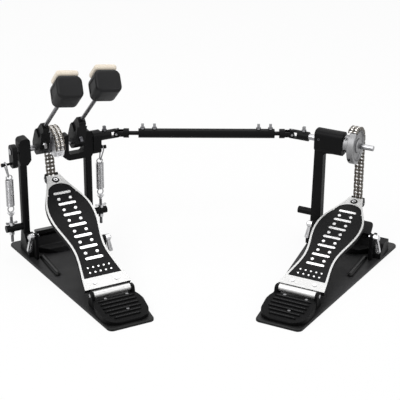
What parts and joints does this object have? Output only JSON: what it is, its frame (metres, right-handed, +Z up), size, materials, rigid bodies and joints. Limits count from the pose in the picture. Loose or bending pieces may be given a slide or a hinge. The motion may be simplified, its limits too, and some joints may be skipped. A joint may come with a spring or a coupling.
{
  "type": "double bass drum pedal",
  "caption": "Double bass drum pedal: a main pedal with twin felt beaters, a remote pedal for the other foot and a telescoping drive shaft with universal joints.",
  "frame": {"origin": "floor under the middle of the whole set", "axes": "+X from the main pedal to the remote pedal, +Y towards the drum, +Z up"},
  "size_m": [0.6575, 0.3514, 0.3561],
  "materials": {
    "black_coat": "black powder coat, fine grain, half matt",
    "black_board": "cast board, black sunk field, bright rim",
    "bright_steel": "bright plated steel",
    "grey_casting": "satin die casting",
    "chain_steel": "oiled steel chain",
    "black_head": "black moulding",
    "felt": "pressed wool felt, off-white",
    "black_tube": "black satin tube"
  },
  "bodies": {
    "main_frame": {"main_base_plate": "black_coat", "main_bridge": "black_coat", "main_left_post": "black_coat", "main_right_post": "black_coat", "main_heel_plate": "black_coat", "main_heel_screws": "bright_steel", "main_hinge_pin": "bright_steel", "main_spring_rods": "bright_steel"},
    "remote_frame": {"remote_base_plate": "black_coat", "remote_bridge": "black_coat", "remote_post": "black_coat", "remote_heel_plate": "black_coat", "remote_heel_screws": "bright_steel", "remote_hinge_pin": "bright_steel"},
    "main_footboard": {"main_footboard": "black_board", "main_board_fasteners": "bright_steel"},
    "remote_footboard": {"remote_footboard": "black_board", "remote_board_fasteners": "bright_steel"},
    "main_axle": {"main_axle": "bright_steel", "main_beater_hub": "black_coat", "main_hub_screw": "bright_steel", "main_sprocket": "grey_casting", "main_chain_wrapped": "chain_steel", "main_spring_cam": "black_coat"},
    "second_axle": {"second_axle": "bright_steel", "second_beater_hub": "black_coat", "second_key_screws": "bright_steel", "second_spring_cam": "black_coat", "main_axle_fork": "black_coat"},
    "remote_axle": {"remote_axle": "bright_steel", "remote_sprocket": "grey_casting", "remote_chain_wrapped": "chain_steel", "remote_fork_screw": "bright_steel", "remote_axle_fork": "black_coat"},
    "main_beater": {"main_beater_shaft": "bright_steel", "main_beater_head": "black_head", "main_beater_felt": "felt"},
    "second_beater": {"second_beater_shaft": "bright_steel", "second_beater_head": "black_head", "second_beater_felt": "felt"},
    "main_chain": {"main_chain_hanging": "chain_steel"},
    "remote_chain": {"remote_chain_hanging": "chain_steel"},
    "main_spring_link": {"main_spring_link": "bright_steel", "main_spring": "bright_steel"},
    "second_spring_link": {"second_spring_link": "bright_steel", "second_spring": "bright_steel"},
    "main_spring_nuts": {"main_spring_nuts": "bright_steel"},
    "second_spring_nuts": {"second_spring_nuts": "bright_steel"},
    "main_hoop_jaw": {"main_hoop_jaw": "black_coat"},
    "remote_hoop_jaw": {"remote_hoop_jaw": "black_coat"},
    "main_left_clamp_screw": {"main_left_clamp_screw": "bright_steel"},
    "main_right_clamp_screw": {"main_right_clamp_screw": "bright_steel"},
    "remote_left_clamp_screw": {"remote_left_clamp_screw": "bright_steel"},
    "remote_right_clamp_screw": {"remote_right_clamp_screw": "bright_steel"},
    "drive_tube": {"drive_tube": "black_tube", "tube_key_screws": "bright_steel", "main_drive_rod": "black_coat"},
    "remote_drive_rod": {"remote_drive_rod": "black_coat"},
    "main_joint_cross": {"main_joint_cross": "bright_steel"},
    "remote_joint_cross": {"remote_joint_cross": "bright_steel"}
  },
  "joints": [
    {"name": "remote_pedal_slide", "type": "slide", "parent": "main_frame", "child": "remote_frame", "axis": [1, 0, 0], "range_m": [-0.0075, 0.04]},
    {"name": "main_footboard_hinge", "type": "hinge", "parent": "main_frame", "child": "main_footboard", "pos_m": [-0.14269, -0.09177, 0.023], "axis": [-0.8902, -0.4555, 0], "range_deg": [0, 4.89], "stiffness_Nm_per_rad": 30, "springref_deg": -4.58},
    {"name": "remote_footboard_hinge", "type": "hinge", "parent": "remote_frame", "child": "remote_footboard", "pos_m": [0.1454, -0.09177, 0.023], "axis": [-0.8902, 0.4555, 0], "range_deg": [0, 4.5], "stiffness_Nm_per_rad": 30, "springref_deg": -4.58},
    {"name": "main_axle_turn", "type": "hinge", "parent": "main_frame", "child": "main_axle", "pos_m": [-0.24565, 0.10942, 0.186], "axis": [-0.8902, -0.4555, 0], "range_deg": [-0.01, 40.01]},
    {"name": "second_axle_turn", "type": "hinge", "parent": "main_frame", "child": "second_axle", "pos_m": [-0.24565, 0.10942, 0.186], "axis": [-0.8902, -0.4555, 0], "range_deg": [-0.01, 40.01]},
    {"name": "remote_axle_turn", "type": "hinge", "parent": "remote_frame", "child": "remote_axle", "pos_m": [0.24835, 0.10942, 0.186], "axis": [-0.8902, 0.4555, 0], "range_deg": [-0.01, 40.01]},
    {"name": "main_beater_height", "type": "slide", "parent": "main_axle", "child": "main_beater", "axis": [0.3385, -0.6616, 0.6691], "range_m": [-0.01, 0.015]},
    {"name": "second_beater_height", "type": "slide", "parent": "second_axle", "child": "second_beater", "axis": [0.3385, -0.6616, 0.6691], "range_m": [-0.01, 0.015]},
    {"name": "main_chain_swing", "type": "hinge", "parent": "main_footboard", "child": "main_chain", "pos_m": [-0.25436, 0.12645, 0.11672], "axis": [0.8902, 0.4555, 0], "range_deg": [-0.01, 11.57]},
    {"name": "remote_chain_swing", "type": "hinge", "parent": "remote_footboard", "child": "remote_chain", "pos_m": [0.26309, 0.13821, 0.06913], "axis": [0.8902, -0.4555, 0], "range_deg": [-0.01, 5.46]},
    {"name": "main_spring_swing", "type": "hinge", "parent": "main_frame", "child": "main_spring_link", "pos_m": [-0.22725, 0.07347, 0.07505], "axis": [0.8902, 0.4555, 0], "range_deg": [-0.01, 8.36], "deforming": ["main_spring"]},
    {"name": "second_spring_swing", "type": "hinge", "parent": "main_frame", "child": "second_spring_link", "pos_m": [-0.22725, 0.07347, 0.07505], "axis": [0.8902, 0.4555, 0], "range_deg": [-0.01, 8.36], "deforming": ["second_spring"]},
    {"name": "main_spring_nut_turn", "type": "hinge", "parent": "main_frame", "child": "main_spring_nuts", "pos_m": [-0.31686, 0.07298, 0.05], "axis": [0, 0, 1], "continuous": true},
    {"name": "second_spring_nut_turn", "type": "hinge", "parent": "main_frame", "child": "second_spring_nuts", "pos_m": [-0.17443, 0.14586, 0.05], "axis": [0, 0, 1], "continuous": true},
    {"name": "main_hoop_jaw_hinge", "type": "hinge", "parent": "main_frame", "child": "main_hoop_jaw", "pos_m": [-0.24883, 0.11565, 0.027], "axis": [-0.8902, -0.4555, 0], "range_deg": [-30, 3]},
    {"name": "remote_hoop_jaw_hinge", "type": "hinge", "parent": "remote_frame", "child": "remote_hoop_jaw", "pos_m": [0.25154, 0.11565, 0.027], "axis": [-0.8902, 0.4555, 0], "range_deg": [0, 19]},
    {"name": "main_left_clamp_screw_turn", "type": "hinge", "parent": "main_frame", "child": "main_left_clamp_screw", "pos_m": [-0.23016, 0.07915, 0.044], "axis": [-0.8902, -0.4555, 0], "range_deg": [0, 220]},
    {"name": "main_right_clamp_screw_turn", "type": "hinge", "parent": "main_frame", "child": "main_right_clamp_screw", "pos_m": [-0.2174, 0.05423, 0.029], "axis": [-0.8902, -0.4555, 0], "continuous": true},
    {"name": "remote_left_clamp_screw_turn", "type": "hinge", "parent": "remote_frame", "child": "remote_left_clamp_screw", "pos_m": [0.23287, 0.07915, 0.044], "axis": [-0.8902, 0.4555, 0], "range_deg": [0, 220]},
    {"name": "remote_right_clamp_screw_turn", "type": "hinge", "parent": "remote_frame", "child": "remote_right_clamp_screw", "pos_m": [0.23287, 0.07915, 0.044], "axis": [-0.8902, 0.4555, 0], "continuous": true},
    {"name": "drive_tube_turn", "type": "hinge", "parent": "main_frame", "child": "drive_tube", "pos_m": [-0.14594, 0.16044, 0.186], "axis": [-1, 0, 0], "range_deg": [-0.01, 36.77]},
    {"name": "remote_drive_rod_turn", "type": "hinge", "parent": "remote_frame", "child": "remote_drive_rod", "pos_m": [0.14865, 0.16044, 0.186], "axis": [-1, 0, 0], "range_deg": [-0.01, 36.77]},
    {"name": "main_cross_tilt", "type": "hinge", "parent": "drive_tube", "child": "main_joint_cross", "pos_m": [-0.14594, 0.16044, 0.186], "axis": [0, -1, 0], "range_deg": [-0.01, 17.04]},
    {"name": "remote_cross_tilt", "type": "hinge", "parent": "remote_drive_rod", "child": "remote_joint_cross", "pos_m": [0.14865, 0.16044, 0.186], "axis": [0, 1, 0], "range_deg": [-0.01, 17.04]}
  ],
  "couplings": [
    {"joint": "main_axle_turn", "follows": "main_footboard_hinge", "ratio": 8.188},
    {"joint": "second_axle_turn", "follows": "remote_footboard_hinge", "ratio": 8.8866},
    {"joint": "remote_axle_turn", "follows": "remote_footboard_hinge", "ratio": 8.8866},
    {"joint": "main_chain_swing", "follows": "main_footboard_hinge", "ratio": 2.3671},
    {"joint": "remote_chain_swing", "follows": "remote_footboard_hinge", "ratio": 1.2119},
    {"joint": "main_spring_swing", "follows": "main_footboard_hinge", "ratio": 1.7102},
    {"joint": "second_spring_swing", "follows": "remote_footboard_hinge", "ratio": 1.8562},
    {"joint": "drive_tube_turn", "follows": "remote_footboard_hinge", "ratio": 8.1665},
    {"joint": "remote_drive_rod_turn", "follows": "remote_footboard_hinge", "ratio": 8.1665},
    {"joint": "main_cross_tilt", "follows": "remote_footboard_hinge", "ratio": 3.7827},
    {"joint": "remote_cross_tilt", "follows": "remote_footboard_hinge", "ratio": 3.7827}
  ]
}
